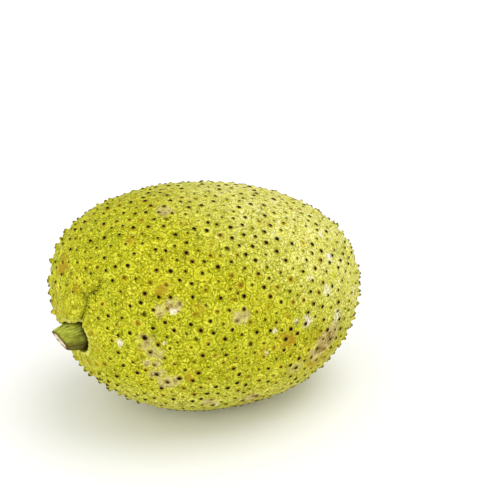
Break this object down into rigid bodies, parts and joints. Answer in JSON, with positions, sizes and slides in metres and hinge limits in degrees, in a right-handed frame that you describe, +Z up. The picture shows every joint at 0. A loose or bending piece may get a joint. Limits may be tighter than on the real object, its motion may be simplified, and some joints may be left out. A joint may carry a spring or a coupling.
{
  "type": "breadfruit",
  "caption": "Whole breadfruit lying on its side: oval fruit with small dark-tipped bumps all over and a short cut stem in a recess at one end.",
  "frame": {"origin": "on the surface that the fruit rests on, under the middle of the whole object's box", "axes": "+X along the fruit's long axis, away from the stem; +Z up; the near side, which shows the stem's recess best, faces -Y"},
  "size_m": [0.2082, 0.1478, 0.1399],
  "materials": {
    "skin": "satin, waxy, knobbly",
    "stem_fibre": "matt, fibrous"
  },
  "bodies": {
    "root": {"fruit": "skin", "stem": "stem_fibre"}
  },
  "joints": []
}
